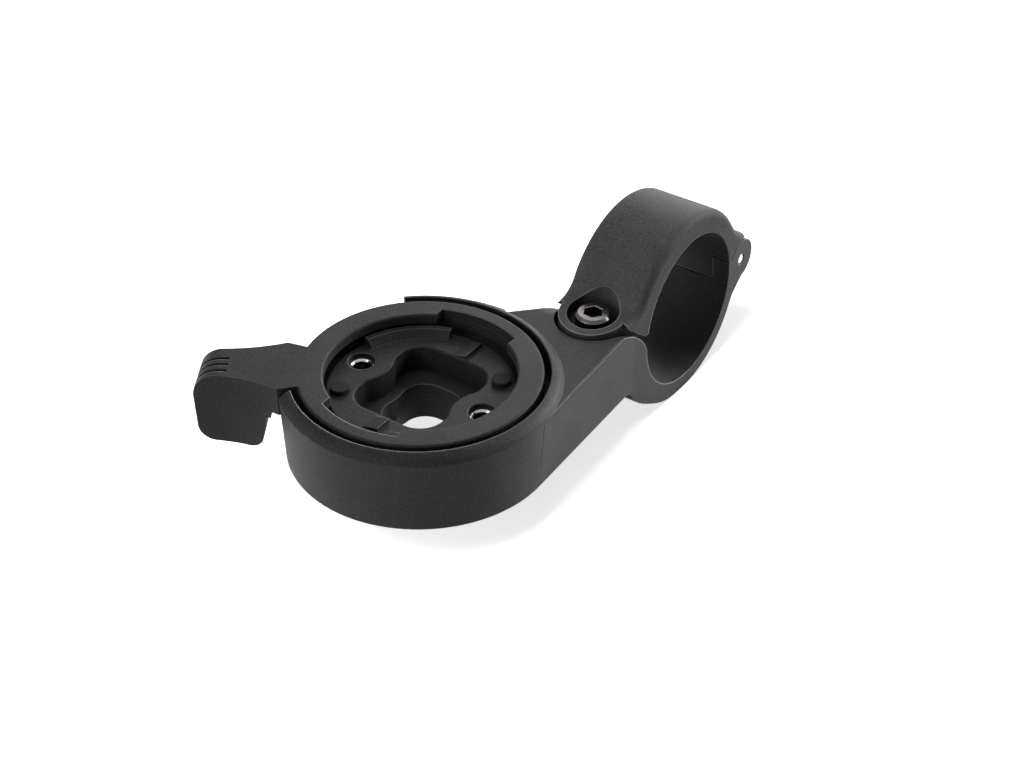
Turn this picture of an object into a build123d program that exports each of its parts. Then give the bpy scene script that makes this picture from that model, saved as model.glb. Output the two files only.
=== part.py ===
"""Bike computer mount with a hinged handlebar clamp, built as separate moulded and metal pieces.

Row frame, millimetres: the origin is the centre of the handlebar bore, +Y runs along the bar,
+Z is up, and the round socket for the computer lies towards -X.
"""
from build123d import *
import os
from math import acos, atan2, cos, radians, sin, sqrt

os.makedirs("parts", exist_ok=True)

# Handlebar clamp
BAR_R = 15.9
CLAMP_W = 16.6
STRAP_WALL = 2.9
CAP_WALL = 4.8
CAP_SHIFT = -0.5
CAP_EDGE_R = 1.7
PIN_X = 20.8
PIN_Z = 0.7
PIN_R = 1.15
EAR_R = 4.4
EAR_W = 3.8
SEAM_GAP = 0.35
KNUCKLE_SIDE_GAP = 0.12
TONGUE_Z = -2.5

# Clamp screw and its lug
BOLT_X = -22.7
BOLT_SHANK_R = 1.6
HEAD_R = 3.5
HEAD_H = 2.4
HEAD_TOP = 8.8
LUG_TIP_TOP = 7.9
HEX_AF = 3.5
HEX_DEPTH = 1.7
POCKET_R = 5.1
LUG_R = 6.7
LUG_GAP = 0.8
LUG_BOTTOM = 3.3
BOLT_TIP = -4.2
INSERT_R = 2.9
INSERT_BORE_R = 2.0
INSERT_LEN = 6.6

# Socket housing
RING_X = -57.0
RING_Y = 15.5
TOP_Z = 9.1
RIM_IN_R = 24.1
RIM_T = 2.2
HOUSING_DRAFT = 0.7
SHOULDER_DROP = 1.9
SHOULDER_COVE = 0.9
ARM_EDGE = 0.8
HOUSING_H = 16.5
CUP_DEPTH = 6.45
DECK_TOP = 8.8
DECK_T = 2.2
WALL_T = 2.2
TUBE_WALL = 1.9
RIB_T = 1.5
RIB_COUNT = 8

# Passage through the floor as shares of the well above it
TUBE_SHARE_X = 0.655
TUBE_SHARE_Y = 0.64
TUBE_WAIST = 0.945

# Locking ring with its lever
RING_GAP = 1.35
RING_WALL = 2.45
LIP_W = 4.9
NOTCH_DEPTH = 2.15
NOTCH_HALF_W = 8.4
LIP_T = 2.0
RING_H = 6.4
RING_FLANGE_T = 1.2
GUIDE_GAP = 0.10
GUIDE_T = 1.8
LEVER_ANGLE = 121.5
LEVER_REACH = 15.7
LEVER_ROOT_W = 14.7
LEVER_TIP_W = 8.25
LEVER_TIP_SHIFT = -0.48
LEVER_SKIRT = 15.2
LEVER_SKIRT_GAP = 3.2
LEVER_ROOT_H = 6.0
LEVER_WEB_H = 7.5
LEVER_CORNER_R = 4.8
GRIP_INSET = 2.05
GRIP_PITCH = 1.87
GRIP_W = 0.75
GRIP_DEPTH = 0.4
GRIP_LEN = 6.4
GRIP_COUNT = 3
OPENING_FROM = 44.0
OPENING_TO = 139.9

# Centre plate
PLATE_GAP = 0.45
PLATE_TOP = 3.7
PLATE_FLANGE_T = 1.4
PLATE_FLANGE_W = 0.8
WELL_MARGIN = 6.4
WELL_SHORTER = 1.6
WELL_WAIST = 0.85
WELL_EDGE_R = 0.35
WAIST_BEHIND = 1.7
ACC_INSET = 3.5
ACC_INSERT_R = 2.3
ACC_BORE_R = 1.75
ACC_RECESS_R = 2.65
ACC_RECESS = 1.0
STOP_T = 1.0
STOP_SLOPE = 1.1
STOP_FROM = 17.0
STOP_ARC = 57.0
RAMP_MARGIN = 1.2
RAMP_W = 3.1
RAMP_SHIFT = -0.3
RAMP_H = 0.8
BUMPER_INSET = 2.5
BUMPER_ANGLE = 129.5
BUMPER_R = 1.85
BUMPER_H = 0.9
BUMPER_STEM_R = 0.8
SCREW_INSET = 3.2
SCREW_R = 0.95
SCREW_HEAD_R = 1.9
SCREW_HEAD_H = 1.3
SCREW_ANGLES = (18, 162, 198, 342)

# Clearances
SEAT = 0.02
RUN = 0.05
SCREW_GAP = 0.05

STRAP_R = BAR_R + STRAP_WALL
CAP_R = BAR_R + CAP_WALL
SHOULDER_Z = TOP_Z - SHOULDER_DROP
FLOOR_Z = TOP_Z - HOUSING_H
HOUSING_R = RIM_IN_R + RIM_T
HOUSING_BOTTOM_R = HOUSING_R - HOUSING_DRAFT
RING_OUT_R = RIM_IN_R - RING_GAP
CHANNEL_R = RING_OUT_R - RING_WALL
APERTURE_R = RING_OUT_R - LIP_W
NOTCH_R = APERTURE_R + NOTCH_DEPTH
PLATE_R = APERTURE_R - PLATE_GAP
CORE_R = PLATE_R - PLATE_FLANGE_W
RING_FLANGE_IN_R = CORE_R + 0.15
ACC_Y = PLATE_R - ACC_INSET
BUMPER_AT_R = PLATE_R - BUMPER_INSET
SCREW_AT_R = PLATE_R - SCREW_INSET
WELL_HALF_X = PLATE_R - WELL_MARGIN
WELL_HALF_Y = WELL_HALF_X - WELL_SHORTER
WELL_WAIST_Y = WELL_WAIST * WELL_HALF_Y
WELL_CORNER_R = 0.51 * WELL_HALF_Y
WAIST_AT_Y = ACC_Y + WAIST_BEHIND
RAMP_LEN = WELL_MARGIN - RAMP_MARGIN
TUBE_HALF_X = TUBE_SHARE_X * WELL_HALF_X
TUBE_HALF_Y = TUBE_SHARE_Y * WELL_HALF_Y
TUBE_WAIST_Y = TUBE_WAIST * TUBE_HALF_Y
TUBE_CORNER_R = 0.73 * TUBE_HALF_Y
LEVER_OUT_R = HOUSING_R + LEVER_REACH
SKIRT_IN_R = HOUSING_R + LEVER_SKIRT_GAP
HALF_W = CLAMP_W / 2
SEAM_R = EAR_R + SEAM_GAP
KNUCKLE_HALF = HALF_W - EAR_W - KNUCKLE_SIDE_GAP

RING_AXIS = Axis((RING_X, RING_Y, TOP_Z), (0, 0, 1))
RING_SECTION = Plane(origin=(RING_X, RING_Y, TOP_Z), x_dir=(1, 0, 0), z_dir=(0, -1, 0))


def level(depth):
    """Horizontal plane at the ring centre, the given depth under the ring top."""
    return Plane(origin=(RING_X, RING_Y, TOP_Z - depth))


def at_ring(radius, angle):
    """Point around the ring centre, as plane-local coordinates."""
    return (radius * cos(radians(angle)), radius * sin(radians(angle)))


def sector(radius, start, end):
    """Corner points of a wide pie slice, used to cut round walls."""
    steps = 6
    pts = [(0, 0)]
    for i in range(steps + 1):
        pts.append(at_ring(radius, start + (end - start) * i / steps))
    return pts


def tangent_from(x, y, radius):
    """Point where a line from (x, y) touches the near side of a circle about the ring centre."""
    dx, dy = x - RING_X, y - RING_Y
    turn = atan2(dy, dx) - acos(radius / sqrt(dx * dx + dy * dy))
    return (RING_X + radius * cos(turn), RING_Y + radius * sin(turn))


# One moulding: the round housing, the flat arm and the lower half of the clamp
def arm_outline(radius, inset):
    """Corner points of the arm in plan: straight on the near side, a short waist on the far side."""
    near_y = -HALF_W + inset
    far_y = HALF_W - inset
    touch = tangent_from(-21.0, near_y, radius)
    return [touch, (-21.0, near_y), (arm_end_x, near_y), (arm_end_x, far_y), (-20.6, far_y),
            (-22.4, far_y + 0.4), (-24.2, far_y + 1.4), (-31.4, RING_Y + 1.2 - inset),
            (RING_X, RING_Y), touch]


arm_end_x = -BAR_R - 1.5
with BuildPart() as base:
    with BuildSketch(RING_SECTION):
        with BuildLine():
            Polyline((0, -HOUSING_H), (HOUSING_BOTTOM_R, -HOUSING_H), (HOUSING_R, -SHOULDER_DROP))
            RadiusArc((HOUSING_R, -SHOULDER_DROP), (RIM_IN_R + 0.25, -0.05), -3.0)
            Polyline((RIM_IN_R + 0.25, -0.05), (0, -0.05), (0, -HOUSING_H))
        make_face()
    revolve(axis=RING_AXIS)
    arm_layers = ((FLOOR_Z, HOUSING_BOTTOM_R, 0),
                  (SHOULDER_Z - ARM_EDGE, HOUSING_R, 0),
                  (SHOULDER_Z - 0.3 * ARM_EDGE, HOUSING_R, 0.3 * ARM_EDGE),
                  (SHOULDER_Z, HOUSING_R, ARM_EDGE))
    for lower, upper in zip(arm_layers[:-1], arm_layers[1:]):
        for height, radius, inset in (lower, upper):
            with BuildSketch(Plane.XY.offset(height)):
                with BuildLine():
                    Polyline(*arm_outline(radius, inset))
                make_face()
        loft(ruled=True)
    # Cove where the shoulder of the housing runs out onto the arm
    with BuildSketch(RING_SECTION):
        with BuildLine():
            Polyline((HOUSING_R - 0.35, -SHOULDER_DROP + SHOULDER_COVE),
                     (HOUSING_R - 2.0, -SHOULDER_DROP - 0.5),
                     (HOUSING_R + SHOULDER_COVE, -SHOULDER_DROP - 0.5),
                     (HOUSING_R + SHOULDER_COVE, -SHOULDER_DROP))
            RadiusArc((HOUSING_R + SHOULDER_COVE, -SHOULDER_DROP),
                      (HOUSING_R - 0.35, -SHOULDER_DROP + SHOULDER_COVE), 1.6 * SHOULDER_COVE)
        make_face()
    revolve(axis=RING_AXIS, revolution_arc=46)
    with BuildSketch(Plane.XZ):
        Circle(STRAP_R)
        with BuildLine():
            Polyline((-BAR_R, 2), (-23.6, 2), (-23.6, FLOOR_Z + 1), (-23.2, FLOOR_Z))
            RadiusArc((-23.2, FLOOR_Z), (-20.6, FLOOR_Z - 2.3), 3.2)
            Spline((-20.6, FLOOR_Z - 2.3), (-14.6, -14.7), (-8.0, -18.0), (0, -STRAP_R),
                   tangents=[(0.55, -0.8), (1, 0)])
            Polyline((0, -STRAP_R), (0, -BAR_R), (-BAR_R, 0), (-BAR_R, 2))
        make_face()
        with Locations((PIN_X, PIN_Z)):
            Circle(EAR_R)
        with BuildLine():
            Polyline((PIN_X + EAR_R * 0.93, PIN_Z - EAR_R * 0.37), (18.0, -6.4), (15.6, -10.4), (12.5, -9.0),
                     (14.0, PIN_Z + 3.6), (PIN_X - 1.0, PIN_Z + EAR_R - 0.1),
                     (PIN_X + EAR_R * 0.93, PIN_Z - EAR_R * 0.37))
        make_face()
    extrude(amount=HALF_W, both=True)
    # Everything above the nose of the arm and above the ears belongs to the cap
    with BuildSketch(Plane.XZ):
        with BuildLine():
            Line((arm_end_x - 9.0, 30), (arm_end_x - 9.0, SHOULDER_Z))
            Spline((arm_end_x - 9.0, SHOULDER_Z), (-23.4, 6.5), (-20.3, 4.7), (-17.6, 2.1), (-15.8, -1.2),
                   tangents=[(1, 0), (0.35, -0.94)])
            Polyline((-15.8, -1.2), (0, -1.2), (0, 30), (arm_end_x - 9.0, 30))
        make_face()
        with BuildLine():
            Polyline((0, 30), (0, -1.2), (13.5, -1.2), (13.5, 2.4), (40, 2.4), (40, 30), (0, 30))
        make_face()
        with Locations((PIN_X, PIN_Z)):
            Circle(EAR_R, mode=Mode.SUBTRACT)
    extrude(amount=HALF_W + 20, both=True, mode=Mode.SUBTRACT)
    with BuildSketch(Plane.XZ):
        Circle(BAR_R)
    extrude(amount=HALF_W + 5, both=True, mode=Mode.SUBTRACT)
    # Room for the middle knuckle and tongue of the cap
    with BuildSketch(Plane.XZ):
        with Locations((PIN_X, PIN_Z)):
            Circle(SEAM_R)
        with BuildLine():
            Polyline((PIN_X, PIN_Z + 6), (12, PIN_Z + 6), (12, TONGUE_Z - SEAM_GAP),
                     (18.0, TONGUE_Z - SEAM_GAP), (PIN_X, PIN_Z), (PIN_X, PIN_Z + 6))
        make_face()
    extrude(amount=HALF_W - EAR_W, both=True, mode=Mode.SUBTRACT)
    # Recess and floor for the lug of the cap
    with BuildSketch(Plane.XY.offset(LUG_BOTTOM - 0.3)):
        with Locations((BOLT_X, 0)):
            Circle(LUG_R + LUG_GAP)
        with Locations((BOLT_X + 6, 0)):
            Rectangle(12, 2 * LUG_R + 0.5)
    extrude(amount=8, mode=Mode.SUBTRACT)
    # Cup for the ring, pocket for the plate, hole through the floor
    with BuildSketch(level(CUP_DEPTH)):
        Circle(RIM_IN_R)
    extrude(amount=CUP_DEPTH + 1, mode=Mode.SUBTRACT)
    with BuildSketch(level(DECK_TOP)):
        Circle(CORE_R + RUN)
    extrude(amount=DECK_TOP, mode=Mode.SUBTRACT)
    with BuildSketch(level(HOUSING_H)) as tube:
        Rectangle(2 * TUBE_HALF_X, 2 * TUBE_HALF_Y)
        fillet(tube.vertices(), radius=TUBE_CORNER_R)
        with Locations((0, WAIST_AT_Y), (0, -WAIST_AT_Y)):
            Circle(WAIST_AT_Y - TUBE_WAIST_Y, mode=Mode.SUBTRACT)
        fillet(tube.vertices().sort_by(lambda v: abs(v.X))[:4], radius=2.0)
    extrude(amount=HOUSING_H, mode=Mode.SUBTRACT)
    with BuildSketch(level(HOUSING_H)):
        Ellipse(TUBE_HALF_X, TUBE_HALF_Y + 0.4)
    with BuildSketch(level(DECK_TOP)):
        Ellipse(0.79 * TUBE_HALF_X, 0.79 * TUBE_WAIST_Y)
    loft(mode=Mode.SUBTRACT)
    # Slot in the wall for the sweep of the lever
    with BuildSketch(level(CUP_DEPTH)):
        with BuildLine():
            Polyline(*sector(1.5 * HOUSING_R, OPENING_FROM, OPENING_TO), close=True)
        make_face()
        Circle(RIM_IN_R - 1, mode=Mode.SUBTRACT)
    extrude(amount=CUP_DEPTH + 2, mode=Mode.SUBTRACT)
    # Coring of the underside
    with BuildSketch(level(HOUSING_H)):
        Circle(HOUSING_BOTTOM_R - WALL_T)
        Circle(CORE_R + 1.7, mode=Mode.SUBTRACT)
    extrude(amount=HOUSING_H - CUP_DEPTH - 2.2, mode=Mode.SUBTRACT)
    with BuildSketch(level(HOUSING_H)):
        Circle(CORE_R + 1.8)
        Circle(TUBE_HALF_X + TUBE_WALL, mode=Mode.SUBTRACT)
    extrude(amount=HOUSING_H - DECK_TOP - DECK_T, mode=Mode.SUBTRACT)
    with BuildSketch(level(HOUSING_H - 1.0)):
        with PolarLocations(0, RIB_COUNT):
            with Locations(((TUBE_HALF_X + HOUSING_BOTTOM_R) / 2, 0)):
                Rectangle(HOUSING_BOTTOM_R - TUBE_HALF_X - 1.6, RIB_T)
        with Locations((0, ACC_Y), (0, -ACC_Y)):
            Circle(ACC_INSERT_R + 1.1)
    extrude(amount=HOUSING_H - 1.0 - DECK_TOP - DECK_T + 0.1)
    with BuildSketch(level(HOUSING_H)):
        with Locations((0, ACC_Y), (0, -ACC_Y)):
            Circle(ACC_INSERT_R + 1.1)
    extrude(amount=1.1)
    with BuildSketch(level(HOUSING_H)):
        with Locations((0, ACC_Y), (0, -ACC_Y)):
            Circle(ACC_BORE_R + 0.3)
    extrude(amount=HOUSING_H, mode=Mode.SUBTRACT)
    # Holes for the plate screws, heads sunk into flat pads under the deck
    with BuildSketch(level(HOUSING_H)):
        with Locations(*[at_ring(SCREW_AT_R, a) for a in SCREW_ANGLES]):
            Circle(SCREW_HEAD_R + 0.5)
    extrude(amount=HOUSING_H - DECK_TOP - DECK_T, mode=Mode.SUBTRACT)
    with BuildSketch(level(HOUSING_H)):
        with Locations(*[at_ring(SCREW_AT_R, a) for a in SCREW_ANGLES]):
            Circle(SCREW_R + 0.2)
    extrude(amount=HOUSING_H, mode=Mode.SUBTRACT)
    # Bore for the threaded insert of the clamp screw, open below for the screw tip
    with BuildSketch(Plane.XY.offset(FLOOR_Z)):
        with Locations((BOLT_X, 0)):
            Circle(INSERT_BORE_R + 0.2)
    extrude(amount=20, mode=Mode.SUBTRACT)
    with BuildSketch(Plane.XY.offset(LUG_BOTTOM - 0.3)):
        with Locations((BOLT_X, 0)):
            Circle(INSERT_R + SEAT)
    extrude(amount=-INSERT_LEN, mode=Mode.SUBTRACT)
    # Hole for the hinge pin
    with BuildSketch(Plane.XZ):
        with Locations((PIN_X, PIN_Z)):
            Circle(PIN_R + SEAT)
    extrude(amount=HALF_W + 1, both=True, mode=Mode.SUBTRACT)
base.part.label = "base_body"
export_step(base.part, "parts/base_body.step")

# Upper half of the clamp: arch, lug with the screw pocket, knuckle and tongue at the hinge
lug_tip_x = BOLT_X - LUG_R
FRONT_TURN = radians(145.5)
BACK_TURN = radians(36)
front_turn = (CAP_SHIFT + CAP_R * cos(FRONT_TURN), CAP_R * sin(FRONT_TURN))
back_turn = (CAP_SHIFT + CAP_R * cos(BACK_TURN), CAP_R * sin(BACK_TURN))
front_knee = (front_turn[0] - 3.1 * sin(FRONT_TURN), front_turn[1] + 3.1 * cos(FRONT_TURN))
back_knee = (back_turn[0] + 4.6 * sin(BACK_TURN), back_turn[1] - 4.6 * cos(BACK_TURN))
with BuildPart() as cap:
    with BuildSketch(Plane.XZ):
        with BuildLine():
            Line((lug_tip_x, LUG_BOTTOM), (lug_tip_x, LUG_TIP_TOP))
            FilletPolyline((lug_tip_x, LUG_TIP_TOP), front_knee, front_turn, radius=5)
            ThreePointArc(front_turn, (CAP_SHIFT, CAP_R), back_turn)
            FilletPolyline(back_turn, back_knee, (PIN_X + 1.9, PIN_Z + SEAM_R + 0.3), radius=2.5)
            Polyline((PIN_X + 1.9, PIN_Z + SEAM_R + 0.3), (PIN_X, PIN_Z), (12.0, PIN_Z), (12.0, 8.0),
                     (-12.0, 8.0), (-12.0, 2.9), (-16.6, 2.9), (-17.4, LUG_BOTTOM), (lug_tip_x, LUG_BOTTOM))
        make_face()
    extrude(amount=HALF_W, both=True)
    for side in (-HALF_W, HALF_W):
        rim_edges = cap.edges().filter_by(
            lambda e: abs(e.center().Y - side) < 0.01 and e.center().Z > 8.05)
        fillet(rim_edges, radius=CAP_EDGE_R)
    with BuildSketch(Plane.XZ):
        Circle(BAR_R)
    extrude(amount=HALF_W + 1, both=True, mode=Mode.SUBTRACT)
    # The end of the lug is round in plan; beside it the cap ends on a slope above the nose of the arm
    with BuildSketch(Plane.XY.offset(-20)):
        with Locations((BOLT_X - 10, 0)):
            Rectangle(20, 2 * CLAMP_W)
        with Locations((BOLT_X, 0)):
            Circle(LUG_R, mode=Mode.SUBTRACT)
    extrude(amount=50, mode=Mode.SUBTRACT)
    for side in (1, -1):
        with BuildSketch(Plane.XZ.offset(side * LUG_R)):
            with BuildLine():
                Polyline((-14, 0.6), (-23.4, 8.2), (-33, 8.2), (-33, -2), (-14, -2), (-14, 0.6))
            make_face()
        extrude(amount=side * (HALF_W - LUG_R + 1), mode=Mode.SUBTRACT)
    # Ears of the lower half clear the flanks, the knuckle keeps to the middle
    with BuildSketch(Plane.XZ):
        with Locations((PIN_X, PIN_Z)):
            Circle(SEAM_R)
        with BuildLine():
            Polyline((12, -8), (12, 2.4 + SEAM_GAP), (17.5, 2.4 + SEAM_GAP), (PIN_X, PIN_Z), (12, -8))
        make_face()
    extrude(amount=HALF_W + 1, both=True, mode=Mode.SUBTRACT)
    with BuildSketch(Plane.XZ):
        with Locations((PIN_X, PIN_Z)):
            Circle(EAR_R)
        with BuildLine():
            Polyline((PIN_X - 1, PIN_Z + 6.6), (12, 12.0), (14.6, 4.0), (14.6, TONGUE_Z), (16.6, TONGUE_Z),
                     (PIN_X - 2.2, PIN_Z - EAR_R + 0.62), (PIN_X + EAR_R - 0.4, PIN_Z + 1.8),
                     (PIN_X + 1.9, PIN_Z + SEAM_R + 0.3), (PIN_X - 1, PIN_Z + 6.6))
        make_face()
    extrude(amount=KNUCKLE_HALF, both=True)
    with BuildSketch(Plane.XZ):
        Circle(BAR_R)
    extrude(amount=HALF_W + 1, both=True, mode=Mode.SUBTRACT)
    with BuildSketch(Plane.XZ):
        with Locations((PIN_X, PIN_Z)):
            Circle(PIN_R + RUN)
    extrude(amount=HALF_W + 1, both=True, mode=Mode.SUBTRACT)
    # Pocket and hole for the clamp screw
    with BuildSketch(Plane.XY.offset(HEAD_TOP - HEAD_H)):
        with Locations((BOLT_X, 0)):
            Circle(POCKET_R)
    extrude(amount=20, mode=Mode.SUBTRACT)
    with BuildSketch(Plane.XY):
        with Locations((BOLT_X, 0)):
            Circle(BOLT_SHANK_R + 0.25)
    extrude(amount=20, mode=Mode.SUBTRACT)
cap.part.label = "clamp_cap"
export_step(cap.part, "parts/clamp_cap.step")

with BuildPart() as pin:
    with BuildSketch(Plane.XZ):
        with Locations((PIN_X, PIN_Z)):
            Circle(PIN_R)
    extrude(amount=HALF_W - 0.1, both=True)
    chamfer(pin.edges().filter_by(GeomType.CIRCLE), length=0.25)
pin.part.label = "hinge_pin"
export_step(pin.part, "parts/hinge_pin.step")

# Clamp screw: flat head with a bevelled rim and a hexagon socket
with BuildPart() as bolt:
    with BuildSketch(Plane.XY.offset(HEAD_TOP - HEAD_H)):
        with Locations((BOLT_X, 0)):
            Circle(HEAD_R)
    extrude(amount=HEAD_H)
    chamfer(bolt.edges().filter_by(GeomType.CIRCLE).sort_by(Axis.Z)[-1], length=0.55)
    with BuildSketch(Plane.XY.offset(HEAD_TOP - HEX_DEPTH)):
        with Locations((BOLT_X, 0)):
            RegularPolygon(radius=HEX_AF / sqrt(3), side_count=6, rotation=25)
    extrude(amount=HEX_DEPTH, mode=Mode.SUBTRACT)
    with BuildSketch(Plane.XY.offset(BOLT_TIP)):
        with Locations((BOLT_X, 0)):
            Circle(BOLT_SHANK_R)
    extrude(amount=HEAD_TOP - HEAD_H - BOLT_TIP)
    chamfer(bolt.edges().filter_by(GeomType.CIRCLE).sort_by(Axis.Z)[0], length=0.5)
bolt.part.label = "clamp_bolt"
export_step(bolt.part, "parts/clamp_bolt.step")

# Knurled threaded insert pressed into the arm
with BuildPart() as bolt_nut:
    with BuildSketch(Plane.XY.offset(LUG_BOTTOM - 0.3)):
        with Locations((BOLT_X, 0)):
            Circle(INSERT_R)
            Circle(INSERT_BORE_R, mode=Mode.SUBTRACT)
    extrude(amount=-INSERT_LEN + SEAT)
    with BuildSketch(Plane.XY.offset(LUG_BOTTOM - 0.3 - INSERT_LEN / 2 - 0.4)):
        with Locations((BOLT_X, 0)):
            Circle(INSERT_R + 0.1)
            Circle(INSERT_R - 0.4, mode=Mode.SUBTRACT)
    extrude(amount=0.8, mode=Mode.SUBTRACT)
    nut_rings = bolt_nut.edges().filter_by(GeomType.CIRCLE)
    chamfer(nut_rings.filter_by(lambda e: e.radius < INSERT_BORE_R + 0.01), length=0.3)
bolt_nut.part.label = "bolt_insert"
export_step(bolt_nut.part, "parts/bolt_insert.step")

# Locking ring and lever, one moulding
with BuildPart() as ring:
    with BuildSketch(RING_SECTION):
        with BuildLine():
            Polyline((APERTURE_R, 0), (RING_OUT_R, 0), (RING_OUT_R, -RING_H + GUIDE_T),
                     (RIM_IN_R - GUIDE_GAP, -RING_H + GUIDE_T), (RIM_IN_R - GUIDE_GAP, -RING_H),
                     (RING_FLANGE_IN_R, -RING_H), (RING_FLANGE_IN_R, -RING_H + RING_FLANGE_T),
                     (CHANNEL_R, -RING_H + RING_FLANGE_T), (CHANNEL_R, -LIP_T), (APERTURE_R, -LIP_T),
                     (APERTURE_R, 0))
        make_face()
    revolve(axis=RING_AXIS)
    fillet(ring.edges().filter_by(GeomType.CIRCLE).group_by(Axis.Z)[-1], radius=0.4)
    with BuildSketch(level(0)):
        Circle(NOTCH_R)
        with Locations((0, NOTCH_HALF_W + NOTCH_R), (0, -NOTCH_HALF_W - NOTCH_R)):
            Rectangle(4 * NOTCH_R, 2 * NOTCH_R, mode=Mode.SUBTRACT)
        Circle(APERTURE_R - 1, mode=Mode.SUBTRACT)
    extrude(amount=-LIP_T - 0.01, mode=Mode.SUBTRACT)
ring_body = ring.part

lever_dir = (cos(radians(LEVER_ANGLE)), sin(radians(LEVER_ANGLE)), 0)
lever_side = Plane(origin=(RING_X, RING_Y, TOP_Z), x_dir=lever_dir,
                   z_dir=(lever_dir[1], -lever_dir[0], 0))
lever_top = Plane(origin=(RING_X, RING_Y, TOP_Z), x_dir=lever_dir, z_dir=(0, 0, 1))
lever_bottom_mid = (SKIRT_IN_R + LEVER_OUT_R) / 2
skirt_w = LEVER_OUT_R - SKIRT_IN_R
half_root = LEVER_ROOT_W / 2
tip_far = LEVER_TIP_SHIFT + LEVER_TIP_W / 2
tip_near = LEVER_TIP_SHIFT - LEVER_TIP_W / 2
lever_neck = HOUSING_R + 0.75 * LEVER_REACH
root_x = HOUSING_R - 0.8
with BuildPart() as lever:
    with BuildSketch(lever_side):
        with BuildLine():
            FilletPolyline((RING_OUT_R - 1.2, 0), (LEVER_OUT_R, 0),
                           (LEVER_OUT_R - 0.4, -LEVER_SKIRT + 5.0), radius=LEVER_CORNER_R)
            FilletPolyline((LEVER_OUT_R - 0.4, -LEVER_SKIRT + 5.0),
                           (LEVER_OUT_R - 0.6, -LEVER_SKIRT + 0.3),
                           (lever_bottom_mid, -LEVER_SKIRT), radius=min(3.6, 0.3 * skirt_w))
            FilletPolyline((lever_bottom_mid, -LEVER_SKIRT), (SKIRT_IN_R, -LEVER_SKIRT - 0.2),
                           (SKIRT_IN_R - 1.2, -LEVER_WEB_H - 2.2), radius=min(3.0, 0.27 * skirt_w))
            FilletPolyline((SKIRT_IN_R - 1.2, -LEVER_WEB_H - 2.2), (SKIRT_IN_R - 1.5, -LEVER_WEB_H - 0.1),
                           (HOUSING_R + 0.8, -LEVER_WEB_H + 0.1), radius=0.7)
            Polyline((HOUSING_R + 0.8, -LEVER_WEB_H + 0.1), (HOUSING_R + 0.5, -LEVER_ROOT_H),
                     (RING_OUT_R - 1.2, -LEVER_ROOT_H))
            Line((RING_OUT_R - 1.2, -LEVER_ROOT_H), (RING_OUT_R - 1.2, 0))
        make_face()
    extrude(amount=LEVER_ROOT_W, both=True)
    with BuildSketch(lever_top.offset(1)):
        with BuildLine():
            Line((LEVER_OUT_R + 1, tip_near), (LEVER_OUT_R + 1, tip_far))
            far_run = Line((LEVER_OUT_R + 1, tip_far), (lever_neck, tip_far + 0.1))
            TangentArc((lever_neck, tip_far + 0.1), (root_x, half_root - 0.1), tangent=far_run % 1)
            Polyline((root_x, half_root - 0.1), (RING_OUT_R - 1.2, half_root - 1.2),
                     (RING_OUT_R - 1.2, -half_root + 1.2), (root_x, -half_root))
            near_run = Line((LEVER_OUT_R + 1, tip_near), (lever_neck, tip_near - 0.1))
            TangentArc((lever_neck, tip_near - 0.1), (root_x, -half_root), tangent=near_run % 1)
        make_face()
    extrude(amount=-LEVER_SKIRT - 3, mode=Mode.INTERSECT)
    # Grip grooves run along the lever and over its outer corner
    corner_x = LEVER_OUT_R - LEVER_CORNER_R
    groove_r = LEVER_CORNER_R - GRIP_DEPTH
    for i in range(GRIP_COUNT):
        with BuildSketch(lever_side.offset(tip_far - GRIP_INSET - GRIP_PITCH * i)):
            with BuildLine():
                Polyline((LEVER_OUT_R - GRIP_LEN - 0.6, 1), (LEVER_OUT_R - GRIP_LEN, -GRIP_DEPTH),
                         (corner_x, -GRIP_DEPTH))
                RadiusArc((corner_x, -GRIP_DEPTH), (corner_x + groove_r, -LEVER_CORNER_R), groove_r)
                Polyline((corner_x + groove_r, -LEVER_CORNER_R), (LEVER_OUT_R + 0.3, -LEVER_CORNER_R - 1.6),
                         (LEVER_OUT_R + 2, -LEVER_CORNER_R - 1.6), (LEVER_OUT_R + 2, 1),
                         (LEVER_OUT_R - GRIP_LEN - 0.6, 1))
            make_face()
        extrude(amount=GRIP_W / 2, both=True, mode=Mode.SUBTRACT)
lever_body = lever.part

with BuildPart() as lock_ring:
    add(ring_body)
    add(lever_body)
    with BuildSketch(level(-1)):
        Circle(CHANNEL_R)
    extrude(amount=-RING_H - 3, mode=Mode.SUBTRACT)
    add(ring_body)
lock_ring.part.label = "lock_ring"
export_step(lock_ring.part, "parts/lock_ring.step")

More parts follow.
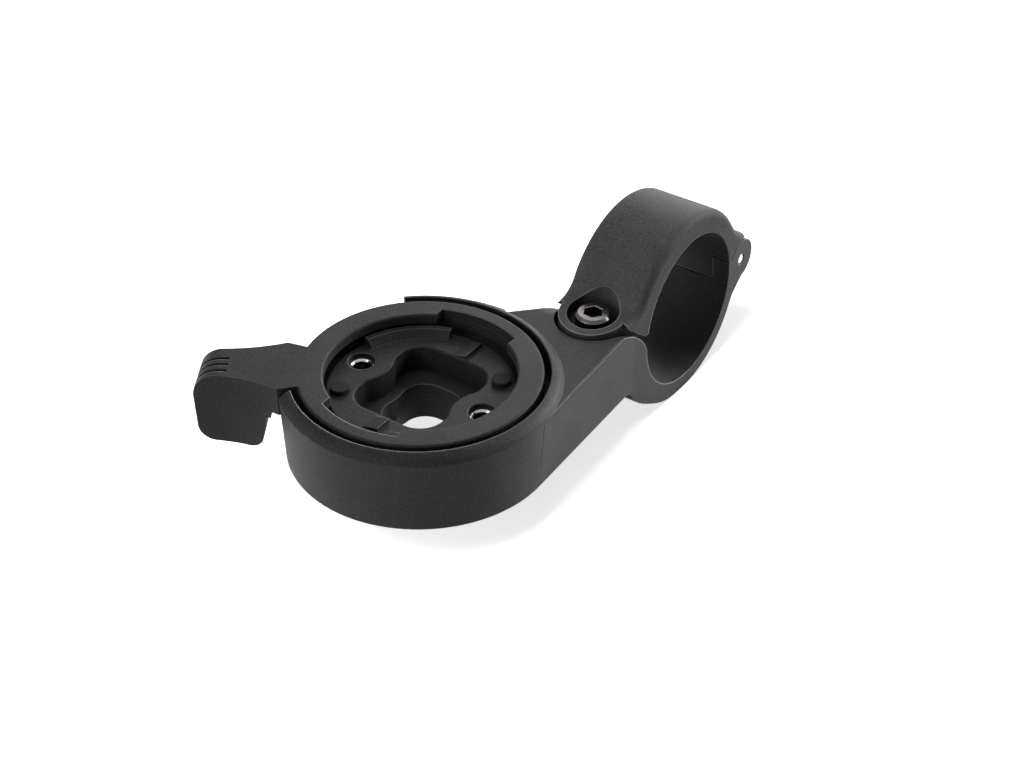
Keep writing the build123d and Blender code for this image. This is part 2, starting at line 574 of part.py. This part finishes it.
# Centre plate under the ring: pinched well, insert bosses, sloped stop walls, ramps beside the well
with BuildPart() as plate:
    with BuildSketch(level(DECK_TOP - SEAT)):
        Circle(CORE_R)
    extrude(amount=DECK_TOP - SEAT - PLATE_TOP)
    with BuildSketch(level(PLATE_TOP + PLATE_FLANGE_T)):
        Circle(PLATE_R)
    extrude(amount=PLATE_FLANGE_T)
    with BuildSketch(level(DECK_TOP + 1)) as well:
        Rectangle(2 * WELL_HALF_X, 2 * WELL_HALF_Y)
        fillet(well.vertices(), radius=WELL_CORNER_R)
        with Locations((0, WAIST_AT_Y), (0, -WAIST_AT_Y)):
            Circle(WAIST_AT_Y - WELL_WAIST_Y, mode=Mode.SUBTRACT)
        fillet(well.vertices().sort_by(lambda v: abs(v.X))[:4], radius=3.0)
    extrude(amount=DECK_TOP + 1, mode=Mode.SUBTRACT)
    top_edges = plate.edges().filter_by(lambda e: abs(e.center().Z - TOP_Z + PLATE_TOP) < 0.01)
    plate_centre = Vector(RING_X, RING_Y, TOP_Z - PLATE_TOP)
    well_rim = top_edges.filter_by(lambda e: e.distance_to(plate_centre) < PLATE_R - 1)
    fillet(well_rim, radius=WELL_EDGE_R)
    wall_out_r = PLATE_R - 0.05
    wall_in_r = wall_out_r - STOP_T
    for turn in (STOP_FROM, STOP_FROM + 180):
        turn_dir = (cos(radians(turn)), sin(radians(turn)), 0)
        section = Plane(origin=(RING_X, RING_Y, TOP_Z), x_dir=turn_dir,
                        z_dir=(turn_dir[1], -turn_dir[0], 0))
        with BuildSketch(section):
            with BuildLine():
                Polyline((wall_out_r, -PLATE_TOP - 0.2), (wall_out_r, -LIP_T - 0.1),
                         (wall_in_r, -LIP_T - 0.1), (wall_in_r - STOP_SLOPE, -PLATE_TOP),
                         (wall_in_r - STOP_SLOPE, -PLATE_TOP - 0.2), (wall_out_r, -PLATE_TOP - 0.2))
            make_face()
        revolve(axis=RING_AXIS, revolution_arc=STOP_ARC)
    # Both ramps drop towards -Y
    right_ramp = (WELL_HALF_X + 0.4, RAMP_LEN)
    left_ramp = (-WELL_HALF_X - 0.9, -RAMP_LEN + 1.5)
    for ramp_from, ramp_run in (right_ramp, left_ramp):
        ramp_start = (RING_X + ramp_from, RING_Y, TOP_Z - PLATE_TOP)
        with BuildSketch(Plane(origin=ramp_start, x_dir=(0, 1, 0), z_dir=(1, 0, 0))):
            with BuildLine():
                Polyline((RAMP_SHIFT - RAMP_W / 2, -0.5), (RAMP_SHIFT - RAMP_W / 2, RAMP_H),
                         (RAMP_SHIFT + RAMP_W / 2, 0.12), (RAMP_SHIFT + RAMP_W / 2, -0.5),
                         (RAMP_SHIFT - RAMP_W / 2, -0.5))
            make_face()
        extrude(amount=ramp_run)
    with BuildSketch(level(DECK_TOP)):
        with Locations((0, ACC_Y), (0, -ACC_Y)):
            Circle(ACC_INSERT_R + SEAT)
    extrude(amount=DECK_TOP, mode=Mode.SUBTRACT)
    with BuildSketch(level(PLATE_TOP + ACC_RECESS)):
        with Locations((0, ACC_Y), (0, -ACC_Y)):
            Circle(ACC_RECESS_R)
    extrude(amount=PLATE_TOP + ACC_RECESS, mode=Mode.SUBTRACT)
    with BuildSketch(level(PLATE_TOP + 2.2)):
        with Locations(at_ring(BUMPER_AT_R, BUMPER_ANGLE), at_ring(BUMPER_AT_R, BUMPER_ANGLE + 180)):
            Circle(BUMPER_STEM_R + SEAT)
    extrude(amount=2.4, mode=Mode.SUBTRACT)
    with BuildSketch(level(DECK_TOP + 0.1)):
        with Locations(*[at_ring(SCREW_AT_R, a) for a in SCREW_ANGLES]):
            Circle(SCREW_R + SCREW_GAP)
    extrude(amount=DECK_TOP - PLATE_TOP - 1.0, mode=Mode.SUBTRACT)
plate.part.label = "centre_plate"
export_step(plate.part, "parts/centre_plate.step")

for name, side in (("near", -1), ("far", 1)):
    with BuildPart() as acc:
        with BuildSketch(level(PLATE_TOP + ACC_RECESS)):
            with Locations((0, side * ACC_Y)):
                Circle(ACC_INSERT_R)
                Circle(ACC_BORE_R, mode=Mode.SUBTRACT)
        extrude(amount=PLATE_TOP + ACC_RECESS + 0.1 - DECK_TOP)
        acc_rings = acc.edges().filter_by(GeomType.CIRCLE)
        acc_mouth = acc_rings.filter_by(lambda e: e.radius < ACC_BORE_R + 0.01).sort_by(Axis.Z)[-1]
        chamfer(acc_mouth, length=0.6 * (ACC_INSERT_R - ACC_BORE_R))
    acc.part.label = "accessory_insert_" + name
    export_step(acc.part, "parts/accessory_insert_" + name + ".step")

for name, angle in (("near", BUMPER_ANGLE + 180), ("far", BUMPER_ANGLE)):
    with BuildPart() as bumper:
        with BuildSketch(level(PLATE_TOP)):
            with Locations(at_ring(BUMPER_AT_R, angle)):
                Circle(BUMPER_R)
        extrude(amount=BUMPER_H)
        fillet(bumper.edges().filter_by(GeomType.CIRCLE).sort_by(Axis.Z)[-1], radius=0.2)
        with BuildSketch(level(PLATE_TOP + 2.0)):
            with Locations(at_ring(BUMPER_AT_R, angle)):
                Circle(BUMPER_STEM_R)
        extrude(amount=2.0)
    bumper.part.label = "bumper_" + name
    export_step(bumper.part, "parts/bumper_" + name + ".step")

for number, angle in enumerate(SCREW_ANGLES, start=1):
    with BuildPart() as screw:
        with BuildSketch(level(DECK_TOP + DECK_T)):
            with Locations(at_ring(SCREW_AT_R, angle)):
                Circle(SCREW_HEAD_R)
        extrude(amount=-SCREW_HEAD_H)
        fillet(screw.edges().filter_by(GeomType.CIRCLE).sort_by(Axis.Z)[0], radius=0.5)
        with BuildSketch(level(DECK_TOP + DECK_T)):
            with Locations(at_ring(SCREW_AT_R, angle)):
                Circle(SCREW_R)
        extrude(amount=DECK_TOP + DECK_T - PLATE_TOP - 1.8)
        with BuildSketch(level(DECK_TOP + DECK_T + SCREW_HEAD_H)):
            with Locations(at_ring(SCREW_AT_R, angle)):
                Rectangle(2.2, 0.5)
                Rectangle(0.5, 2.2)
        extrude(amount=0.7, mode=Mode.SUBTRACT)
    screw.part.label = "plate_screw_" + str(number)
    export_step(screw.part, "parts/plate_screw_" + str(number) + ".step")
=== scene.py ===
import bpy
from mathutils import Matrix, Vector


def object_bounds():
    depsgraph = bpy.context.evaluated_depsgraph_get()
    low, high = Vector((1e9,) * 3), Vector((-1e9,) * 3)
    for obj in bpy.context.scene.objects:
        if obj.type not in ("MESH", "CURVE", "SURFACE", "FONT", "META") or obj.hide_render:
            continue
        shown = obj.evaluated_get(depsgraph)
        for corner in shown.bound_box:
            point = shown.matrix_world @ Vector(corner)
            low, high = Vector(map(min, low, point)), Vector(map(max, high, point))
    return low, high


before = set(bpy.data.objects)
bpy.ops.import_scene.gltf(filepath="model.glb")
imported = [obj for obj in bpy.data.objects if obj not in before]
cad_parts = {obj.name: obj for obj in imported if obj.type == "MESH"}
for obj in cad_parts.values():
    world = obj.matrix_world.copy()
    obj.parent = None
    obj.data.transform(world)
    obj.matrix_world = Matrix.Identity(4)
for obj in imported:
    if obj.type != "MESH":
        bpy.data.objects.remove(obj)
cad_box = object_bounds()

MM = 0.001
scene = bpy.context.scene
scene.view_settings.view_transform = "Standard"


# Helpers for node trees
def feed(links, value, socket):
    """Link an output to a socket, or set the socket to a plain value."""
    if isinstance(value, bpy.types.NodeSocket):
        links.new(value, socket)
    else:
        socket.default_value = value


def scaled(colour, factor, offset=0.0):
    return tuple(min(1.0, c * factor + offset) for c in colour)


def new_material(name):
    mat = bpy.data.materials.new(name)
    mat.use_nodes = True
    nodes = mat.node_tree.nodes
    nodes.clear()
    out = nodes.new("ShaderNodeOutputMaterial")
    shader = nodes.new("ShaderNodeBsdfPrincipled")
    mat.node_tree.links.new(shader.outputs["BSDF"], out.inputs["Surface"])
    return mat, nodes, mat.node_tree.links, shader


def noise(nodes, links, coords, scale, detail=3.0, rough=0.55):
    """Noise from 0 to 1 in the piece's own coordinates; scale is in lumps a metre."""
    tex = nodes.new("ShaderNodeTexNoise")
    tex.inputs["Scale"].default_value = scale
    tex.inputs["Detail"].default_value = detail
    tex.inputs["Roughness"].default_value = rough
    links.new(coords.outputs["Object"], tex.inputs["Vector"])
    return tex.outputs["Fac"]


def remap(nodes, links, source, low, high, from_low=0.3, from_high=0.7):
    """Stretch from_low..from_high, by default the usual span of a noise, to low..high."""
    node = nodes.new("ShaderNodeMapRange")
    node.inputs["From Min"].default_value = from_low
    node.inputs["From Max"].default_value = from_high
    node.inputs["To Min"].default_value = low
    node.inputs["To Max"].default_value = high
    links.new(source, node.inputs["Value"])
    return node.outputs["Result"]


def maths(nodes, links, operation, *values):
    node = nodes.new("ShaderNodeMath")
    node.operation = operation
    for value, socket in zip(values, node.inputs):
        feed(links, value, socket)
    return node.outputs[0]


def tint(nodes, links, source, dark, light):
    """Turn a noise into mottling between two colours."""
    ramp = nodes.new("ShaderNodeValToRGB")
    ends = ramp.color_ramp.elements
    for end, position, colour in ((ends[0], 0.32, dark), (ends[1], 0.68, light)):
        end.position = position
        end.color = (*colour, 1)
    links.new(source, ramp.inputs["Fac"])
    return ramp.outputs["Color"]


def blend(nodes, links, factor, first, second):
    """First colour where factor is 0, second where it is 1."""
    node = nodes.new("ShaderNodeMix")
    node.data_type = "RGBA"
    enabled = {socket.name: socket for socket in node.inputs if socket.enabled}
    for value, name in ((factor, "Factor"), (first, "A"), (second, "B")):
        feed(links, (*value, 1) if isinstance(value, tuple) else value, enabled[name])
    return next(socket for socket in node.outputs if socket.enabled)


def openness(nodes, reach_mm, samples=6):
    """One on open faces, falling to 0 where walls stand closer than the reach."""
    node = nodes.new("ShaderNodeAmbientOcclusion")
    node.samples = samples
    node.inputs["Distance"].default_value = reach_mm * MM
    return node.outputs["AO"]


def rounded_edge(nodes, radius_mm, samples):
    node = nodes.new("ShaderNodeBevel")
    node.samples = samples
    node.inputs["Radius"].default_value = radius_mm * MM
    return node.outputs["Normal"]


def relief(nodes, links, shader, height, strength, depth_mm, normal=None):
    node = nodes.new("ShaderNodeBump")
    node.inputs["Strength"].default_value = strength
    node.inputs["Distance"].default_value = depth_mm * MM
    links.new(height, node.inputs["Height"])
    if normal:
        links.new(normal, node.inputs["Normal"])
    links.new(node.outputs["Normal"], shader.inputs["Normal"])


def edge_highlight_wear(nodes, links, rounded_normal, reach):
    """Mask up to reach along outer edges, zero on flat faces and inner corners: where painted
    highlight and wear go.
    """
    geometry = nodes.new("ShaderNodeNewGeometry")
    turn = nodes.new("ShaderNodeVectorMath")
    turn.operation = "DOT_PRODUCT"
    links.new(rounded_normal, turn.inputs[0])
    links.new(geometry.outputs["Normal"], turn.inputs[1])
    near_edge = remap(nodes, links, turn.outputs["Value"], reach, 0.0, 0.84, 0.99)
    outer = remap(nodes, links, openness(nodes, 0.8), 0.0, 1.0, 0.70, 0.90)
    return maths(nodes, links, "MULTIPLY", near_edge, outer)


# Materials: base colours are linear, lengths in millimetres
def moulded_plastic(name, base, rough, grain_mm=0.17, grain_strength=0.9, specular=0.08,
                    recess_shade=0.25):
    """Black moulded plastic: spark grain, flow mottling, outer edges lightened as painted highlight
    with some wear, and painted shade in recesses.
    """
    mat, nodes, links, shader = new_material(name)
    coords = nodes.new("ShaderNodeTexCoord")
    grains_a_metre = 1.0 / (grain_mm * MM)
    flow = noise(nodes, links, coords, 90.0)
    grain = noise(nodes, links, coords, grains_a_metre, 2.0, 0.6)
    speck = noise(nodes, links, coords, 0.55 * grains_a_metre, 2.0, 0.5)

    specks = maths(nodes, links, "MULTIPLY", speck, 0.7)
    mottle = maths(nodes, links, "MULTIPLY_ADD", flow, 0.3, specks)
    skin = tint(nodes, links, mottle, scaled(base, 0.45), scaled(base, 1.55))
    # Painted shade: the colour darkens towards a fraction of the base where walls stand within 3 mm
    unshaded_face = remap(nodes, links, openness(nodes, 3.0), 0.0, 1.0, 0.25, 0.85)
    skin = blend(nodes, links, unshaded_face, scaled(base, recess_shade), skin)
    edge = rounded_edge(nodes, 0.38, 8)
    lit_worn_edge = edge_highlight_wear(nodes, links, edge, 1.0)
    # Painted highlight with some wear: outer edges lighten to five times the base colour
    links.new(blend(nodes, links, lit_worn_edge, skin, scaled(base, 5.0, 0.02)), shader.inputs["Base Color"])

    matt = remap(nodes, links, speck, rough - 0.07, rough + 0.07)
    polished = maths(nodes, links, "MULTIPLY_ADD", lit_worn_edge, -0.16, matt)
    links.new(polished, shader.inputs["Roughness"])
    shader.inputs["Specular IOR Level"].default_value = specular
    relief(nodes, links, shader, grain, grain_strength, 0.04, edge)
    return mat


def turned_metal(name, base, rough, rim_highlight_wear, hollow_shade_mm=1.6):
    """Machined metal with fine tooling marks, rims lightened as painted highlight with some wear, and
    painted shade in hollows.
    """
    mat, nodes, links, shader = new_material(name)
    coords = nodes.new("ShaderNodeTexCoord")
    cloud = noise(nodes, links, coords, 900.0)
    fine = noise(nodes, links, coords, 9000.0, 2.0)

    edge = rounded_edge(nodes, 0.16, 6)
    tarnish = tint(nodes, links, cloud, scaled(base, 0.78), scaled(base, 1.12))
    # Painted highlight with some wear: outer edges blend to the bright rim colour
    bright = blend(nodes, links, edge_highlight_wear(nodes, links, edge, 0.85), tarnish, rim_highlight_wear)
    # Painted shade: hollows within the reach darken to 6% of the base colour
    unshaded_face = remap(nodes, links, openness(nodes, hollow_shade_mm, 8), 0.0, 1.0, 0.35, 0.85)
    links.new(blend(nodes, links, unshaded_face, scaled(base, 0.06), bright), shader.inputs["Base Color"])

    links.new(remap(nodes, links, fine, rough - 0.07, rough + 0.08), shader.inputs["Roughness"])
    shader.inputs["Metallic"].default_value = 1.0
    relief(nodes, links, shader, fine, 0.25, 0.01, edge)
    return mat


def soft_rubber(name, base):
    mat, nodes, links, shader = new_material(name)
    coords = nodes.new("ShaderNodeTexCoord")
    cloud = noise(nodes, links, coords, 2500.0)
    skin = tint(nodes, links, cloud, scaled(base, 0.8), scaled(base, 1.3))
    links.new(skin, shader.inputs["Base Color"])
    links.new(remap(nodes, links, cloud, 0.62, 0.78), shader.inputs["Roughness"])
    shader.inputs["Specular IOR Level"].default_value = 0.1
    relief(nodes, links, shader, cloud, 0.3, 0.02)
    return mat


body_mat = moulded_plastic("body_plastic_grain", (0.033, 0.033, 0.0335), 0.54)
cap_mat = moulded_plastic("cap_plastic_grain", (0.036, 0.036, 0.0365), 0.60,
                          grain_mm=0.15, specular=0.05)
lever_mat = moulded_plastic("lever_plastic_grain", (0.028, 0.028, 0.0285), 0.52)
plate_mat = moulded_plastic("plate_plastic_grain", (0.024, 0.024, 0.0245), 0.46,
                            grain_strength=0.4, recess_shade=0.7)
screw_mat = turned_metal("burnished_screw_steel", (0.075, 0.070, 0.068), 0.26, (0.62, 0.59, 0.58))
pin_mat = turned_metal("ground_pin_steel", (0.60, 0.60, 0.60), 0.30, (0.80, 0.80, 0.80))
insert_mat = turned_metal("turned_insert_steel", (0.42, 0.405, 0.39), 0.16, (0.50, 0.49, 0.48),
                          hollow_shade_mm=0.7)
brass_mat = turned_metal("turned_insert_brass", (0.60, 0.44, 0.20), 0.28, (0.80, 0.64, 0.34))
plate_screw_mat = turned_metal("black_zinc_screw", (0.10, 0.10, 0.105), 0.36, (0.38, 0.38, 0.38))
rubber_mat = soft_rubber("bumper_rubber_soft", (0.012, 0.012, 0.012))

looks = {
    "base_body": body_mat,
    "clamp_cap": cap_mat,
    "lock_ring": lever_mat,
    "centre_plate": plate_mat,
    "clamp_bolt": screw_mat,
    "hinge_pin": pin_mat,
    "bolt_insert": brass_mat,
    "accessory_insert_near": insert_mat,
    "accessory_insert_far": insert_mat,
    "bumper_near": rubber_mat,
    "bumper_far": rubber_mat,
}
for name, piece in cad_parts.items():
    mat = looks.get(name, plate_screw_mat)
    if not piece.material_slots:
        piece.data.materials.append(mat)
    for slot in piece.material_slots:
        slot.material = mat


# Camera solved from the round rims in the photo, in metres and the frame's axes
EYE = Vector((-0.29194, -0.16785, 0.22512))
AIM = Vector((-0.05104, -0.00077, 0.00912))
cam_data = bpy.data.cameras.new("photo_camera")
cam_data.sensor_width = 36.0
cam_data.lens = 70.6
cam_data.clip_start = 0.01
cam_data.clip_end = 20.0
cam = bpy.data.objects.new("photo_camera", cam_data)
scene.collection.objects.link(cam)
cam.location = EYE
cam.rotation_euler = (AIM - EYE).to_track_quat("-Z", "Y").to_euler()
scene.camera = cam

# Studio: a pale floor under the clamp's lowest point and a white surround
FLOOR_HALF = 6.0
FLOOR_GAP = 0.02 * MM
FLOOR_PALE = 0.80
FLOOR_GLOW = 0.76
FLOOR_BOUNCE = 0.22
WORLD_ON_PIECES = 0.02
WHITE = (1, 1, 1, 1)


def seen_rays(nodes, links):
    """One for rays that show the background: from the camera, mirrored or let through."""
    path = nodes.new("ShaderNodeLightPath").outputs
    seen = maths(nodes, links, "MAXIMUM", path["Is Camera Ray"], path["Is Glossy Ray"])
    return maths(nodes, links, "MAXIMUM", seen, path["Is Transmission Ray"])


def floor_material():
    """Pale where it is seen, darker in the light that it throws back at the pieces."""
    mat, nodes, links, shader = new_material("studio_floor")
    shader.inputs["Base Color"].default_value = (FLOOR_PALE, FLOOR_PALE, FLOOR_PALE, 1)
    shader.inputs["Roughness"].default_value = 0.9
    shader.inputs["Specular IOR Level"].default_value = 0.0
    glow = nodes.new("ShaderNodeEmission")
    glow.inputs["Color"].default_value = WHITE
    seen = seen_rays(nodes, links)
    links.new(maths(nodes, links, "MULTIPLY", seen, FLOOR_GLOW), glow.inputs["Strength"])
    pale = nodes.new("ShaderNodeAddShader")
    links.new(shader.outputs["BSDF"], pale.inputs[0])
    links.new(glow.outputs["Emission"], pale.inputs[1])

    bounce = nodes.new("ShaderNodeBsdfDiffuse")
    bounce.inputs["Color"].default_value = (FLOOR_BOUNCE, FLOOR_BOUNCE, FLOOR_BOUNCE, 1)
    choice = nodes.new("ShaderNodeMixShader")
    links.new(seen, choice.inputs[0])
    links.new(bounce.outputs["BSDF"], choice.inputs[1])
    links.new(pale.outputs["Shader"], choice.inputs[2])
    out = next(node for node in nodes if node.type == "OUTPUT_MATERIAL")
    links.new(choice.outputs["Shader"], out.inputs["Surface"])
    return mat


def stage_floor():
    z = cad_box[0][2] - FLOOR_GAP
    corners = [(x * FLOOR_HALF, y * FLOOR_HALF, z) for x, y in ((-1, -1), (1, -1), (1, 1), (-1, 1))]
    mesh = bpy.data.meshes.new("floor")
    mesh.from_pydata(corners, [], [(0, 1, 2, 3)])
    mesh.materials.append(floor_material())
    sheet = bpy.data.objects.new("floor", mesh)
    scene.collection.objects.link(sheet)
    return sheet


def white_surround():
    """White where it is seen, next to nothing as a light on the pieces."""
    world = bpy.data.worlds.new("studio")
    scene.world = world
    world.use_nodes = True
    nodes, links = world.node_tree.nodes, world.node_tree.links
    nodes.clear()
    out = nodes.new("ShaderNodeOutputWorld")
    background = nodes.new("ShaderNodeBackground")
    background.inputs["Color"].default_value = WHITE
    level = remap(nodes, links, seen_rays(nodes, links), WORLD_ON_PIECES, 1.0, 0.0, 1.0)
    links.new(level, background.inputs["Strength"])
    links.new(background.outputs["Background"], out.inputs["Surface"])


floor = stage_floor()
white_surround()


# Lamps: square softboxes turned to the middle of the mount, in metres and watts
MIDDLE = Vector((-0.035, 0.008, 0.0))


def receivers(name, piece):
    """Collection that a lamp can be limited to by light linking."""
    group = bpy.data.collections.new(name)
    group.objects.link(piece)
    return group


def softbox(name, position, size, power, group=None):
    data = bpy.data.lights.new(name, "AREA")
    data.size = size
    data.energy = power
    lamp = bpy.data.objects.new(name, data)
    scene.collection.objects.link(lamp)
    lamp.location = position
    lamp.rotation_euler = (MIDDLE - Vector(position)).to_track_quat("-Z", "Y").to_euler()
    if group:
        lamp.light_linking.receiver_collection = group


off_floor = receivers("flagged_off_floor", floor)
off_floor.collection_objects[0].light_linking.link_state = "EXCLUDE"
floor_only = receivers("floor_only", floor)
cap_only = receivers("cap_only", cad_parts["clamp_cap"])

# The low lamps are kept off the floor, where they would throw long shadows
softbox("key_right", (0.66, 0.24, 0.26), 0.5, 5.7, off_floor)
softbox("side_near", (0.59, -0.35, 0.19), 0.45, 12.2, off_floor)
softbox("left_end", (-0.64, 0.23, 0.32), 0.45, 2.2)
softbox("top_sheet", (0.0, 0.0, 0.8), 0.8, 1.1)
# The cap's slope towards the socket would be too dark without a lamp of its own
softbox("cap_fill", (-0.437, 0.204, 0.575), 0.4, 5.0, cap_only)
# Lifts the open floor to white, and leaves it the mount's soft shadow
softbox("floor_wash", (-0.42, 0.12, 0.68), 0.5, 12.0, floor_only)
